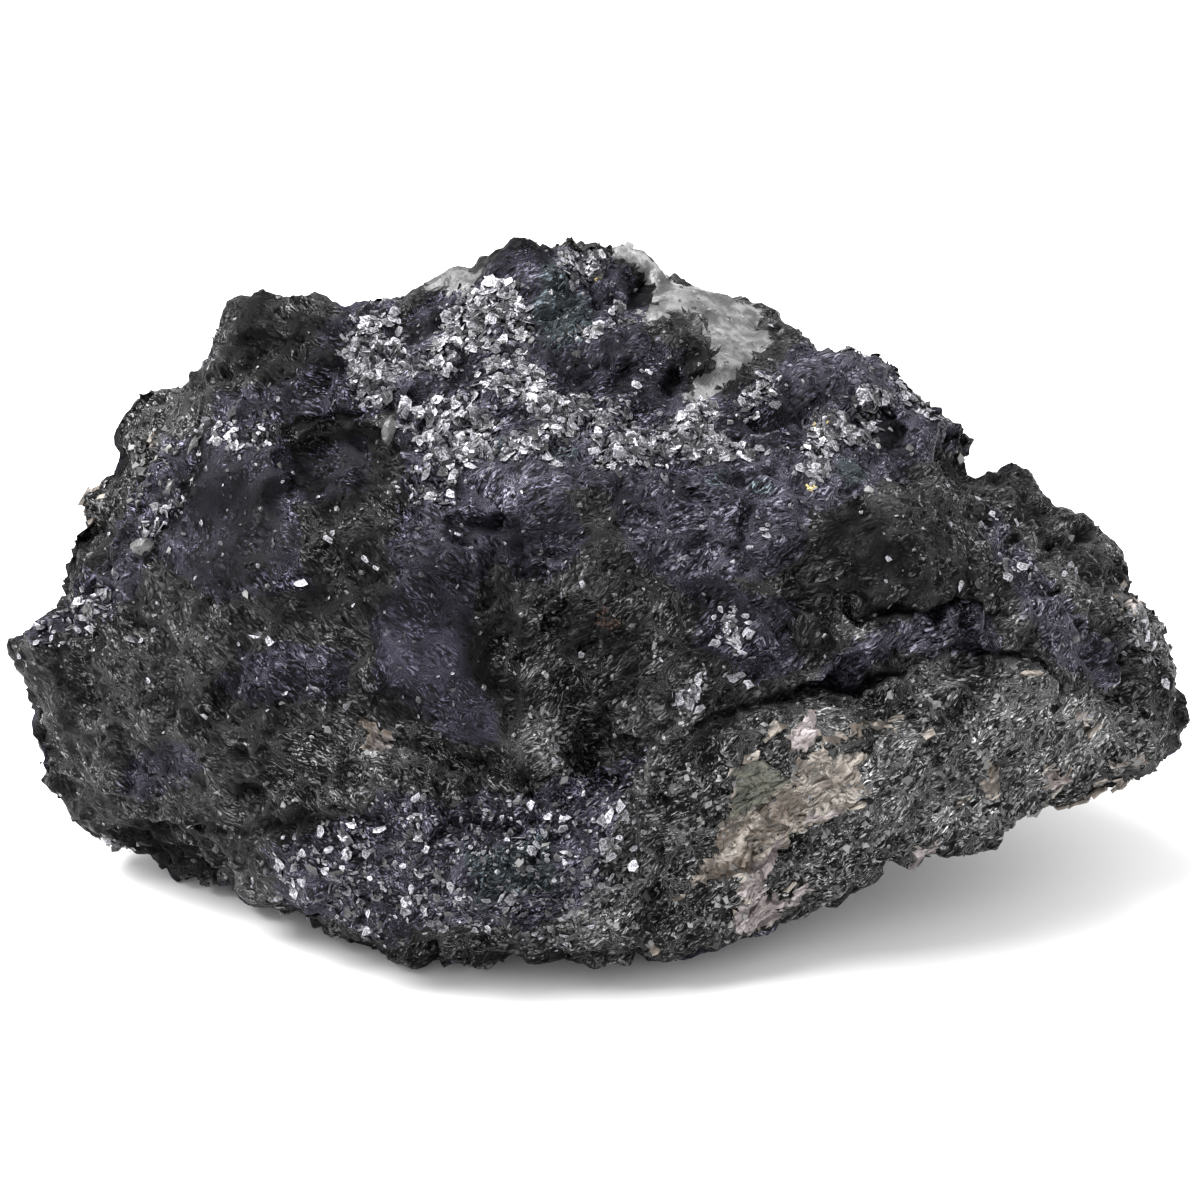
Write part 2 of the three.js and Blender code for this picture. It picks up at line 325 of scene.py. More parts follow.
rosy = area([
    [(20, -11.6), (21.6, -10.8), (22.4, -12), (21.8, -13.6), (20.8, -14.8), (19.6, -14.8), (19.2, -13.2)],
    [(13.8, -33.2), (14.8, -33.6), (16.4, -32.4), (18.4, -31.6), (21.6, -29.2), (20.8, -28.8),
     (18.8, -30), (16.8, -30), (16, -28), (15.2, -27.2), (14.4, -28), (14.2, -30)],
    [(20.4, -22.2), (24, -21.8), (25, -20.8), (22, -21), (20.2, -21.4)],
    [(30.2, -26.2), (34, -25.6), (34.4, -24.8), (31, -25)],
    [(17.5, -24.5), (19, -23.5), (17.4, -27), (15.5, -28), (15.5, -26.5)],
], 0.5) + spots([
    (46, -17.5, 1.8, 1.5, 0, 0.6), (48.5, -11.5, 0.9, 0.9, 0, 0.6), (53, -17, 4, 0.9, 40, 0.5),
    (53.5, -1, 1.6, 3.2, 30, 0.5), (-21.7, -13.5, 2.2, 1.5, -30, 0.6),
])
calcite = np.maximum(rosy, area([
    [(20, -15.6), (22.4, -15.2), (26, -16), (26.4, -18.8), (25.2, -21.6), (20.4, -22.4), (19.2, -24),
     (17.6, -26.8), (16, -27.6), (14, -28), (11.6, -27.6), (8.8, -29.6), (11.2, -25.2), (12, -23.2),
     (13.6, -21.6), (16.8, -21.2), (18.4, -19.6), (19.6, -18)],
    [(22.4, -13.2), (28, -12.2), (30.6, -11.4), (30.4, -12.2), (28, -13.2), (22.6, -14.2)],
])) + spots([
    (39.5, -18.5, 1, 2, -20, 0.6), (17.6, -13, 1.4, 0.8, 50, 0.6), (-23, -12, 2.5, 1.2, -30, 0.5),
]) + 0.8 * green + hidden(9, 33, 0.75, 0.9)
quartz = area([
    [(2.2, 33.6), (2, 36), (5, 36), (7, 33.6), (9, 32.6), (13, 31.4), (16.4, 30.2), (16, 28), (17.6, 26),
     (15.5, 24.2), (14, 23.2), (13, 22.2), (11, 20.2), (8.8, 20), (9.6, 21.7), (11.2, 23.7), (11.7, 26),
     (10.9, 27.8), (9.1, 28.7), (6.5, 27.9), (4.5, 27.9), (4.2, 28.9), (5.7, 29.8), (6.6, 31.4),
     (5, 32.8)],
    [(-17.5, 32.5), (-12, 33.5), (-13, 30.5), (-18, 30.5)],
]) + hidden(12, 35, 0.7, 0.95)
mica = spots([
    # the dense silvery patches of the top face, the crest, the clusters below them and the right shoulder
    (-22.8, 25, 3, 5.5, -10, 1.1), (-13.5, 27, 3.8, 2.4, 50, 1.1), (-18, 24.5, 3.2, 1.8, 0, 0.9),
    (-8.7, 28, 3.8, 1.8, -60, 1.0), (-10.5, 30.5, 3.4, 1, 10, 0.9), (-2, 34, 3, 2, 0, 1.1),
    (-8, 34.8, 3, 2.4, 0, -2), (-15, 17.5, 5.5, 4, -30, 0.9), (-6, 20.5, 5.5, 1.6, -10, 0.9),
    (-1, 18.5, 6, 2.4, 0, 0.8), (3, 14.5, 4.5, 2.4, 10, 0.8), (-6.5, 15, 3.5, 1.8, 20, 0.8),
    (10, 18.5, 2, 2, 0, 1.1), (10, 15.8, 2.4, 1.4, 0, 1.1), (7, 17, 3.5, 2, 20, 0.8),
    (1, 27.5, 5, 0.9, 12, 0.8), (22, 15.5, 1.8, 4.5, 0, 1.0), (24.8, 18, 2.8, 2.2, 0, 0.8),
    (25.8, 16.5, 1.2, 1.2, 0, 1.0), (27.5, 20.5, 2.4, 1.2, 0, 0.9), (32.5, 18, 1.2, 1, 0, 1.0),
    (31, 20, 1, 1, 0, 0.8), (16, 21, 3, 1.6, 30, 0.6), (-9, 24, 3, 3, 0, 0.6), (14, 15, 4, 2, 0, 0.4),
    (-18, 12, 3, 2, 0, 0.6),
    # narrow clusters on the front, the left rim and the right end
    (13, -3, 0.9, 2.4, 0, 0.9), (9, -9.3, 1.1, 2.6, -30, 0.9), (-44, 8, 1.6, 4, -35, 0.5),
    (-52, -2, 4.5, 2, 40, 0.5), (-37, 17, 3.5, 2.5, 0, 0.4), (54, -4, 1.6, 5, 20, 0.5),
    (40, 5, 3, 5, 30, 0.35),
]) + 0.32 * area([
    [(-34, -25), (-20, -20), (-7, -19), (4, -15), (6, -25), (2, -34), (-4, -36), (-20, -33), (-31, -30)],
], 1.5) + 0.7 * hidden(14, 37, 0.25, 0.6)
# The tone is partly the stone's own paler and darker patches and partly painted light and shade: painted
# shadows in the crack under the lump, the pit, the hollow under the vein and other hollows, and faces made
# paler or darker to stand for how the light falls on them.
tone_and_shade = spots([
    # a strength above 0 is paler and below 0 darker, and 1 is two and a half times as pale
    # the shoulder and the left rim
    (-32.5, 26.5, 6, 4, 0, -1.3), (-28.5, 25, 3, 3.5, 0, -0.5), (-22.5, 25, 2.8, 5, 0, 0.5),
    (-26, 25, 2.5, 3, 0, -0.5), (-27, 23, 5, 4, 0, -0.45), (-45, 22, 3, 2, 0, -0.5),
    (-24, 20, 2.5, 2.5, 0, -0.6), (-38, 19, 4, 3, 0, -0.5), (-44, 17, 3, 4, 0, 0.5),
    (-36, 16, 5, 4, 0, -0.3), (-33.5, 15.5, 2.5, 3, 0, -0.4), (-27.5, 15, 7, 4.5, 0, -0.55),
    (-43, 14, 4, 5, 20, -0.4),
    # the scoop and the left flank
    (-42, 13, 5, 7, 20, -0.35), (-43, 12, 1.2, 5, 15, 0.5), (-33, 12, 6, 6, 0, -0.2),
    (-26, 10.5, 4, 2, 0, -0.5), (-30, 10, 13, 14, 0, -0.3), (-24, 9, 5, 4.5, 0, -0.7),
    (-30, 8, 12, 7, 10, -0.55), (-46, 6, 5, 1.2, 60, 0.5), (-32, 3, 4, 3, 0, -0.5),
    (-32, 2.5, 2.5, 2.5, 0, -0.6), (-36, 2, 20, 22, 0, -0.4), (-28, 1, 8, 4, 0, -0.3),
    (-47, -1, 3, 1, 45, -0.6), (-53, -2, 4, 1.5, 40, 0.5), (-51, -2, 4, 4, 0, -0.4),
    (-38, -4, 3, 3, 0, 0.35), (-43, -5, 2, 4, -30, 0.3), (-51, -9, 3, 1.5, 0, -0.4),
    # the low left
    (-24, -14, 5, 2.5, -20, 0.8), (-54, -15, 3, 4, 0, -0.6), (-54, -15.5, 2.5, 4, 0, -0.5),
    (-36, -16, 2.5, 6, 0, 0.3), (-38, -21, 4, 2, 0, -0.4), (-27, -22, 6, 1.2, 5, -0.5),
    (-40, -23.5, 9, 2, -5, -0.8), (-25, -23.5, 3, 2, 0, -0.4), (-27, -24.5, 4, 2, 0, -0.4),
    (-44, -25, 6, 2, -10, -0.7), (-47, -25, 6, 3, -20, -0.5),
    # the crest, the upper top face, the vein and the hollow under it
    (1, 35.5, 2.5, 1.2, 0, -0.8), (-7.6, 35, 2.6, 2, 0, -1.0), (-8.2, 34.6, 3, 1.8, 0, -1.4),
    (3.8, 34.5, 3, 1.3, -35, 1.6), (-2.5, 34, 3, 1.8, 0, 0.5), (-1, 33.5, 2.5, 1.5, 0, 0.6),
    (-2, 32, 3.5, 2.5, 0, 0.4), (12, 31, 5, 1.2, -30, 0.7), (4, 31, 2.2, 1.5, -30, -1.6),
    (-4, 29.5, 3, 3.5, 0, 0.5), (0, 29, 8, 4, -20, 0.4), (5, 29, 9, 6, 0, 0.3),
    (-18, 28.5, 3, 1.5, 20, -0.8), (17, 27.5, 2.5, 2.5, 0, -0.5), (-15.5, 26, 5, 2, 30, 0.5),
    (5, 24, 3, 3, 0, 0.3), (3.5, 24, 8, 2.8, -4, -0.9), (8.5, 24, 2.5, 3.5, 0, -0.8),
    (-2.5, 22.5, 2, 1.5, 0, 0.7),
    # the top face
    (-12, 21, 10, 9, 0, 0.15), (-16, 20, 2.5, 4, 0, 0.4), (10, 18.5, 2, 2, 0, 0.5),
    (-5.5, 16, 12, 3, 0, 0.4), (5, 14, 3, 2.5, 0, 0.4), (-18, 13, 3, 2, 0, 0.5),
    # the blade, the gully and the middle
    (-7, 7.5, 4, 3, 0, -0.4), (8, 6, 2, 4, 0, 0.5), (4, 6, 2.5, 2, 45, 0.4), (15.5, 6, 1.5, 1.5, 0, 0.6),
    (-2, 6, 2.5, 3, 0, -0.4), (-17, 5, 3, 4, 30, -0.4), (-8, 4, 8, 6, 0, 0.35), (16, 3, 4, 4, 0, 0.5),
    (-2, 3, 4, 1, 45, 0.5), (-20, 2.5, 10, 2, 0, 0.3), (-19, -2, 2, 2, 0, -0.3),
    (0.5, -2.5, 2.5, 2, 0, -0.7), (13, -2.5, 0.8, 2, 0, 0.5), (-20, -3.5, 1.5, 4, 20, 0.3),
    (14.5, -4, 3, 4, 0, -0.3), (-10, -5, 3.5, 5, -20, -0.4), (13, -5, 3.5, 6, 0, -0.45),
    (-13, -6, 3, 6, 35, -0.35), (14, -6, 0.8, 1.5, 0, 0.5), (10, -6, 6, 6, 0, -0.35),
    (4, -7, 5, 8, -20, 0.35), (-14, -7, 4, 8, 30, -0.15), (6, -8, 2, 3, 0, -0.4),
    (9, -9, 0.8, 1.6, -30, 0.5), (-5.5, -10, 2, 6, 0, 0.6), (15, -12, 3, 2, 0, -0.4),
    (0.5, -12, 2.5, 4, 0, 0.3),
    # the foot
    (-5.5, -13, 1.2, 4.5, 0, 0.8), (17, -13.5, 4, 4, 0, -0.35), (-21, -14, 6, 2, -45, 0.7),
    (6, -14, 5, 3, 30, 0.5), (-0.5, -14.5, 2, 3, 0, -0.9), (-5, -15, 1.3, 2, 0, 0.5),
    (-9.5, -16, 3, 1.5, -30, -0.6), (-20, -17, 6, 2.5, -20, 0.5), (11, -17, 2, 2.5, 0, -0.6),
    (4, -18, 1.5, 2.5, -30, 0.6), (4, -18, 7, 16, 0, 0.2), (-5, -19, 6, 2.5, 0, 0.2),
    (-2, -20, 4, 3, 0, -0.5), (16, -22, 5, 2, 40, 0.6), (10, -23, 3, 6, 0, 0.8), (7, -23, 8, 5, 0, 0.2),
    (8, -24, 5, 5, 0, 0.3), (-10, -24, 10, 6, 0, 0.15), (-3, -24.5, 3, 2.5, 0, -0.4),
    (2, -25, 2, 2, 0, 0.5), (-5, -31.5, 14, 3, 0, 0.4), (-1, -32, 5, 2.5, 0, 0.4),
    (5, -32.5, 3.5, 2, 0, -0.8), (-15, -35, 14, 2.2, -12, -0.8),
    # the right shoulder
    (27, 22.5, 4, 2, -30, 0.7), (20, 21, 7, 2, 10, -0.7), (26, 20, 2, 2, 0, 0.5),
    (28, 17.5, 3, 1.5, -15, -1.1), (21.5, 14.5, 1.3, 5, 0, 0.6), (36, 14, 3, 2.5, -40, -0.4),
    (25, 13, 2.5, 2.5, 0, 0.4), (20, 10, 6, 5, 0, 0.3), (25, 10, 12, 9, -20, 0.2), (26, 9, 8, 6, 0, 0.25),
    (24.5, 8, 2.5, 1.5, 0, -0.6),
    # the lump, the long crack and the right wing
    (42, 6, 2, 5, 30, 0.5), (30, 4, 10, 4.8, -15, -1.0), (20, 3.5, 5, 3.5, 0, 0.4),
    (30, 3, 9, 4.5, -12, -0.4), (47.5, 3, 1.5, 1, 0, 0.8), (46, 2, 5, 7, 30, 0.3),
    (41, 1, 11, 7, -35, 0.4), (46, 0, 5, 6, -50, 0.6), (30.5, -1.2, 6, 1, -5, -1.0),
    (55, -2, 1.5, 5, 15, -0.4), (54, -2, 3, 4, 30, 0.3), (28, -3.5, 12, 4, 0, 0.35),
    (55, -4, 1.5, 4, 0, 0.5), (40, -4, 10, 5, -20, 0.4), (34, -6, 5, 1.5, 0, 0.9),
    (33.5, -7, 3.5, 2.5, 0, 0.6), (40, -8, 0.8, 4, 0, 0.5),
    # the lower right
    (53, -9, 2.5, 3, 0, -0.4), (52, -9, 1.5, 1.5, 0, 0.6), (52.5, -9, 2, 2, 0, 0.5),
    (26, -10, 12, 3, 15, 0.5), (22, -10, 8, 1, 5, -0.7), (48, -12, 3, 2.5, 0, 0.6),
    (52, -12, 2.5, 8, 0, 0.4), (41, -13, 5, 6, 0, 0.35), (52, -13, 4, 6, 0, 0.35),
    (45, -14, 9, 6, 20, 0.8), (30, -15, 2.5, 3, 0, 0.5), (36, -16, 2, 4, 0, -0.5),
    (47, -16, 3, 2, 0, 0.5), (35, -16, 8, 4, 20, -0.2), (30, -17, 14, 6, 10, 0.7),
    (24, -17, 4, 5, 0, 0.6), (37, -17, 2.5, 4, 0, -0.3), (54, -17, 4, 3, 0, -0.3),
    (22, -17, 8, 4, 0, -0.15), (32, -18, 6, 3, 0, -0.3), (36, -23, 7, 2.5, 20, 0.9),
    (34, -23, 5, 1.5, 25, 0.4), (25, -25, 9, 3, 25, 0.9), (27, -25, 4, 1.5, 20, -0.7),
]) + 0.7 * (1 - front) * waves(rooms / 7, 39)
tone_and_shade += 0.4 * waves(rooms / 3, 40) * (seen[:, 1] < -8) * (seen[:, 0] > 2)
tone_and_shade += 0.8 * waves(rooms / 5, 41) + 0.65 * waves(rooms / 2.2, 42) + 0.4 * waves(rooms / 1, 43)
smooth = area([
    [(-40, 15), (-33, 15), (-30, 5), (-33, 2), (-42, 4)],
    [(-30, 17), (-24, 17), (-23, 12), (-30, 12.5)],
    [(-21.5, 0), (-15, 2), (-12, -5), (-9.5, -14), (-14, -14), (-19, -10), (-23, -6)],
    [(22, 7), (27, 9), (37, 6), (40, 0), (33, -1), (26, -1), (22, 2)],
], 1.2) * (1 - 0.45 * (seen[:, 0] > 20))
leftward = area([[(-60, 40), (-20, 40), (-20, 20), (-8, 5), (-8, -20), (-60, -40)]], 0.3)
gangue = area([
    [(5, -16), (14, -12), (24, -10), (31, -8), (35, -6), (44, -9), (50, -8), (55, -10), (58, -13),
     (54, -18), (45, -22), (35, -26), (25, -29), (20, -31), (14, -34), (5, -35), (8, -25), (6, -20)],
    [(-27, -11), (-22, -12), (-18, -14), (-14, -17), (-16, -20), (-24, -19), (-30, -21), (-34, -20),
     (-30, -15)],
    [(-7, -7), (-3.5, -8), (-3, -19), (-7, -19)],
    [(-48, 22), (-41, 22), (-43, 14), (-48, 8), (-53, 8), (-49, 14)],
    [(51, 2), (55, 0), (59, -7), (56, -8), (53, -3)],
    [(-3, -29), (4, -29), (4, -34), (-3, -35)],
], 1.5)
# Where the ore gets bright strokes: pale gangue and mica, and random patches of painted glitter.
sparks = eased(waves(rooms / 2.5, 44) + 0.5 * waves(rooms / 1, 45), -0.2, 0.7)
glitter = 0.9 * gangue + 0.9 * np.clip(mica, 0, 1) + sparks

# The stone's relief.
# The outline and a few lumps are set first, then the cracks with the shadowed slots that they open into. Each
# size of grain leaves tilted facets with steps between them, drawn out along the cleavage. The smooth faces
# keep only a little of it.


def slanted(degrees):
    """The direction that the eye sees at an angle up from the right."""
    angle = math.radians(degrees)
    return np.array(TO_RIGHT) * math.cos(angle) + np.array(TO_TOP) * math.sin(angle)


CLEAVAGE_RIGHT = slanted(35)
CLEAVAGE_LEFT = slanted(-42)
TERRACE_MM = 0.5
DRAWN_OUT = 0.45
SMOOTHED_AWAY = 0.92
# Stops of painted shade laid into the tone of the cracks and open seams, where they would be shadowed.
PAINTED_GAP_SHADE = 1.8
CORNER_WEAR = 0.5
CORNER_WEAR_TURNS = 2
rims = [
    # the place on the outline in mm, the half width, and how far it is moved to the right and up
    (-7.8, 34.2, 2.8, 0.2, 1.7), (-14.5, 32.5, 2, 0, 0.6), (3, 34.5, 5, 0.2, 0.7),
    (19, 27.2, 4, 0.6, 0.9), (35, 17, 4, 0.6, 0.4), (40, 12.5, 5, 0.3, 1.2), (57, -4.5, 6, 0.7, 0.6),
    (52, -20, 4.5, -0.4, 1.3), (36, -26, 4, 0, 0.8), (-46.3, 19.5, 3, -0.5, 0.5),
    (-50.5, 13, 4, 0.7, -0.3), (-53, 5, 4, -0.7, 0.3), (-57, -4, 5, -1.1, 0.3), (-57.8, -9.5, 3, 0.8, 0),
    (-55.8, -14, 4, -0.9, 0), (-54.2, -20, 3, 0.5, 0.4),
]
for across, up, half_width, right, rise in rims:
    near = np.linalg.norm(seen - (across, up), axis=1)
    swell = 1 - eased(near, 0.25 * half_width, half_width)
    rooms = rooms + swell[:, None] * (right * np.array(TO_RIGHT) + rise * np.array(TO_TOP))

knobs = [
    # the place in mm, the half width, and how far it stands out toward the eye
    (-42.5, 9.5, 1.6, 1.2), (-45.2, 5, 1.6, 1.4), (-50.5, -1.5, 2, 1.2), (13, -14.5, 2.5, 0.7),
    (20, -13, 1.5, 0.8), (0, 6, 3, 0.9), (6.5, 4, 2, -0.8), (9, 23.5, 2, 1.5), (47, 4, 1.5, 0.6),
]
for across, up, half_width, toward in knobs:
    near = np.linalg.norm(seen - (across, up), axis=1)
    swell = (1 - eased(near, 0.25 * half_width, half_width)) * front
    rooms = rooms + toward * swell[:, None] * np.array(TO_EYE)

cracks = [
    # the places along it in mm, its half width and its depth
    ([(4, -14.5), (6.5, -13.8), (10, -12.2), (14, -10.8), (16.5, -10)], 0.35, 0.8),
    ([(16.5, -10), (20, -9.5), (23, -8.8), (25, -9), (27, -8), (30, -7.2), (33, -5.5), (36, -5), (41, -5.2),
      (44, -6.8), (46, -9)], 0.5, 1.6),
    ([(25, -9), (28, -10), (30, -11.5), (32, -12.3)], 0.4, 1.0),
    ([(24.5, 0), (25.5, -2), (26.5, -1.2), (30, -0.5), (32, -1.2), (33.5, -2), (36, -1),
      (39, -0.8)], 0.6, 2.0),
    ([(-31.5, 16.6), (-30, 18), (-27, 18.4), (-25, 18)], 1.2, 1.6),
    ([(26, 18.6), (28, 18), (30, 16.8)], 1.3, 1.8),
    ([(-20, 27.5), (-18, 26.8), (-15.5, 28), (-13.5, 30)], 0.6, 0.8),
    ([(-40, 22), (-40.5, 18), (-40, 15), (-41.5, 11), (-42.5, 7)], 0.6, 0.8),
    ([(-24, -12), (-18, -14.5), (-13, -16.5), (-8, -17.5)], 0.8, 1.0),
    ([(-44, -23.5), (-38, -23), (-30, -22.4), (-24, -22)], 0.9, 1.2),
    ([(-2, -13), (-1, -16), (1, -18)], 1.3, 1.6),
    ([(7, 21), (8, 23), (9.5, 25)], 1.2, 1.4),
]
# Marks the cracks and open seams, whose tone is darkened further on with painted shade.
gap_shade = np.zeros(len(places))
jagged = seen + 0.5 * wander
for line, half_width, depth in cracks:
    nearest, _ = way_to(line, jagged, closed=False)
    cut = (1 - eased(nearest, 0.3 * half_width, half_width)) * front
    gap_shade = np.maximum(gap_shade, cut)
    rooms = rooms - (depth * cut)[:, None] * np.array(TO_EYE)

plain = np.maximum(smooth, 0.75 * np.clip(quartz, 0, 1))
bend = np.stack([waves(rooms / 4, 11), waves(rooms / 4, 12), waves(rooms / 4, 13)], 1)
aim = np.where((leftward > 0.5)[:, None], CLEAVAGE_LEFT, CLEAVAGE_RIGHT)
aim = aim + 0.8 * (grains((rooms + bend) / 4.5, 15)[1] - 0.5)
aim /= np.linalg.norm(aim, axis=1)[:, None]
drawn = rooms + bend
drawn = drawn - DRAWN_OUT * np.sum(drawn * aim, axis=1)[:, None] * aim
terrace = waves(rooms / 7, 14) * 2.5
height = TERRACE_MM * (np.floor(terrace) + eased(terrace - np.floor(terrace), 0.75, 1))
opened = eased(waves(rooms / 9, 16), -0.3, 0.4)
grain_sizes = [
    # the size in mm, the slope of its facets, the steps between them, and how deep the open seams are
    (6.0, 1.5, 0.55, 1.0), (2.6, 0.95, 0.5, 0.5), (1.2, 0.6, 0.24, 0.2), (0.7, 0.35, 0.08, 0),
]
for seed, (size, slope, step, depth) in enumerate(grain_sizes, 1):
    way, numbers, border = grains(drawn / size, seed)
    seam = (1 - eased(border, 0.03, 0.16)) * opened
    height += slope * np.sum(way * (numbers - 0.5), axis=1) + step * (numbers[:, 0] - 0.5) - depth * seam
    gap_shade = np.maximum(gap_shade, depth * seam * 0.6 * (1 - plain))
rooms = rooms + normals * (height * (1 - SMOOTHED_AWAY * plain))[:, None]
rooms[:, 2] = np.maximum(rooms[:, 2], 0)
skin.vertices.foreach_set("co", (rooms * MM).ravel())
only(stone)
bpy.ops.object.mode_set(mode="EDIT")
bpy.ops.mesh.select_all(action="SELECT")
bpy.ops.mesh.vertices_smooth(factor=CORNER_WEAR, repeat=CORNER_WEAR_TURNS)
bpy.ops.object.mode_set(mode="OBJECT")
skin = stone.data
rooms = read(skin.vertices, "co") / MM
normals = read(skin.vertices, "normal")

kinds = {
    "violet": violet,
    "teal": teal,
    # The tone is lowered in the cracks and open seams: painted shade.
    "tone_and_shade": tone_and_shade - PAINTED_GAP_SHADE * gap_shade,
    "smooth": smooth,
    "glitter": glitter,
    "green": green,
    "rosy": rosy,
    "aim": aim,
}


def write(mesh, values_of):
    """Gives a mesh a number or a vector at each of its corners, for each name."""
    for name, values in values_of.items():
        if values.ndim == 2:
            layer = mesh.attributes.new(name, "FLOAT_VECTOR", "POINT")
            layer.data.foreach_set("vector", values.astype(np.float32).ravel())
        else:
            layer = mesh.attributes.new(name, "FLOAT", "POINT")
            layer.data.foreach_set("value", values.astype(np.float32))


write(skin, kinds)

# The ore's finish.
# Dull and slightly metallic, in two sizes of grain drawn out along the cleavage, each grain with its own
# shade and tilt. Thin bright strokes run all over it, partly the pale edges of mica plates and partly painted
# glints, and so do dark wisps. Its tone holds painted shade in the cracks and seams. Stops are doublings of
# its paleness.
GRAIN_MM = 0.4
FINE_GRAIN_MM = 0.15
WISP_MM = 0.42
ORE_VALUE = 0.0138
TONE_AND_SHADE_STOPS = 1.35
GRAIN_STOPS = 3.4
FINE_GRAIN_STOPS = 4.4
MIDDLE_STOPS = 4.1
WISP_STOPS = 1.5
STROKE_AND_GLINT_VALUE = 0.2
GREY = (1.0, 1.0, 1.0, 1)
VIOLET = (1.0, 0.95, 1.38, 1)
TEAL = (0.82, 1.0, 1.13, 1)


class Wire:
    """A value on its way through a material's nodes. Sums and products of wires add Math nodes."""

    def __init__(self, tree, socket):
        self.tree = tree
        self.socket = socket

    def node(self, kind, settings, values, output=0):
        """Adds a node: its kind, its settings, and the values or wires of its sockets."""
        node = self.tree.nodes.new(kind)
        for name, value in settings.items():
            setattr(node, name, value)
        for name, value in values.items():
            if isinstance(value, Wire):
                self.tree.links.new(value.socket, node.inputs[name])
            else:
                node.inputs[name].default_value = value
        return Wire(self.tree, node.outputs[output])

    def math(self, operation, *values):
        return self.node("ShaderNodeMath", {"operation": operation}, dict(enumerate(values)))

    def __abs__(self):
        return self.math("ABSOLUTE", self)

    def __add__(self, other):
        return self.math("ADD", self, other)

    def __sub__(self, other):
        return self.math("SUBTRACT", self, other)

    def __mul__(self, other):
        return self.math("MULTIPLY", self, other)

    def __pow__(self, other):
        return self.math("POWER", self, other)

    def __rsub__(self, other):
        return self.math("SUBTRACT", other, self)

    def __rpow__(self, other):
        return self.math("POWER", other, self)

    __radd__ = __add__
    __rmul__ = __mul__

    def between(self, low, high):
        """0 below low, 1 above high, and a smooth rise between them."""
        return self.node(
            "ShaderNodeMapRange",
            {"interpolation_type": "SMOOTHSTEP"},
            {"Value": self, "From Min": low, "From Max": high},
        )

    def blend(self, first, second):
        """The first colour where this is 0, the second where it is 1."""
        return self.node("ShaderNodeMix", {"data_type": "RGBA"}, {"Factor": self, 6: first, 7: second}, 2)

    def times(self, colour):
        """A colour made lighter or darker by this factor."""
        return self.node("ShaderNodeVectorMath", {"operation": "SCALE"}, {0: colour, "Scale": self})

    def vector(self, operation, values, output=0):
        """A Vector Math node that starts from this vector."""
        return self.node("ShaderNodeVectorMath", {"operation": operation}, {0: self, **values}, output)


def material(name):
    """A new material, its shader and a wire of the place in mm."""
    new = bpy.data.materials.new(name)
    new.use_nodes = True
    tree = new.node_tree
    shader = tree.nodes["Principled BSDF"]
    start = Wire(tree, None)
    place = start.node("ShaderNodeTexCoord", {}, {}, "Object")
    return new, shader, place.vector("SCALE", {"Scale": 1 / MM})


def feed(shader, name, wire):
    """Links a wire to one of a shader's sockets."""
    wire.tree.links.new(wire.socket, shader.inputs[name])


def noise_of(place, size, detail=2.0, rough=0.5, output="Fac"):
    """Soft noise of 0 to 1 with lumps of a size in mm."""
    values = {"Vector": place, "Scale": 1 / size, "Detail": detail, "Roughness": rough}
    return place.node("ShaderNodeTexNoise", {}, values, output)


def grain_of(place, size, output):
    """Cells of a size in mm: the distance to their middle or their random colour."""
    return place.node("ShaderNodeTexVoronoi", {}, {"Vector": place, "Scale": 1 / size}, output)


def part_of(colour, channel):
    """One channel of a colour, as a number."""
    return colour.node("ShaderNodeSeparateColor", {}, {"Color": colour}, channel)


def kind(place, name, output="Fac"):
    """What the mesh says of a place: how much of a kind of stone it is, its tone with its painted shade and
    light, or its cleavage.
    """
    return place.node("ShaderNodeAttribute", {"attribute_name": name}, {}, output)


def drawn_out(place, share):
    """The place, shrunk to a share of its length along the cleavage, so that grains there come out long."""
    aim = kind(place, "aim", "Vector")
    along = place.vector("DOT_PRODUCT", {1: aim}, "Value")
    return place.vector("SUBTRACT", {1: aim.vector("SCALE", {"Scale": along * (1 - share)})})


ore, shader, place = material("ore")
curled = place.vector("ADD", {1: noise_of(place, 1.2, 0.0, 0.5, "Color").vector("SCALE", {"Scale": 0.5})})
long = drawn_out(curled, 0.35)
coarse = grain_of(long, GRAIN_MM, "Color")
fine = grain_of(long, FINE_GRAIN_MM, "Color")
shade = part_of(coarse, "Red")
shade_fine = part_of(fine, "Red")
is_teal = (kind(place, "teal") + shade * 0.5).between(0.6, 1.0)
contrast = 1 - 0.55 * kind(place, "smooth")
grainy = shade * GRAIN_STOPS + shade_fine * FINE_GRAIN_STOPS - MIDDLE_STOPS
wisp = noise_of(drawn_out(curled, 0.25), WISP_MM, 1.0, 0.7)
light = kind(place, "tone_and_shade") * TONE_AND_SHADE_STOPS + contrast * grainy - wisp.between(0.57, 0.65) * WISP_STOPS
# The bright threads and strokes are partly the pale edges of mica and gangue and partly painted glints.
thread = abs(wisp - 0.47).between(0.025, 0.0) * shade_fine.between(0.35, 0.8)
stroke = (shade * shade_fine).between(0.5, 0.85) * 0.6 + thread
value = ORE_VALUE * 2 ** light + contrast * stroke * kind(place, "glitter") * STROKE_AND_GLINT_VALUE
is_violet = (kind(place, "violet") + shade * 0.5).between(0.62, 0.85) * (1 - 0.45 * light.between(0.5, 2.5))
tint = is_teal.blend(is_violet.blend(GREY, VIOLET), TEAL)
feed(shader, "Base Color", value.times(tint))
feed(shader, "Roughness", 0.6 - 0.22 * shade_fine)
shader.inputs["Metallic"].default_value = 0.15
shader.inputs["Specular IOR Level"].default_value = 0.06
tilt = coarse.vector("ADD", {1: fine}).vector("SUBTRACT", {1: (1, 1, 1)})
tilt = tilt.vector("SCALE", {"Scale": contrast * 0.75})
facing = place.node("ShaderNodeNewGeometry", {}, {}, "Normal")
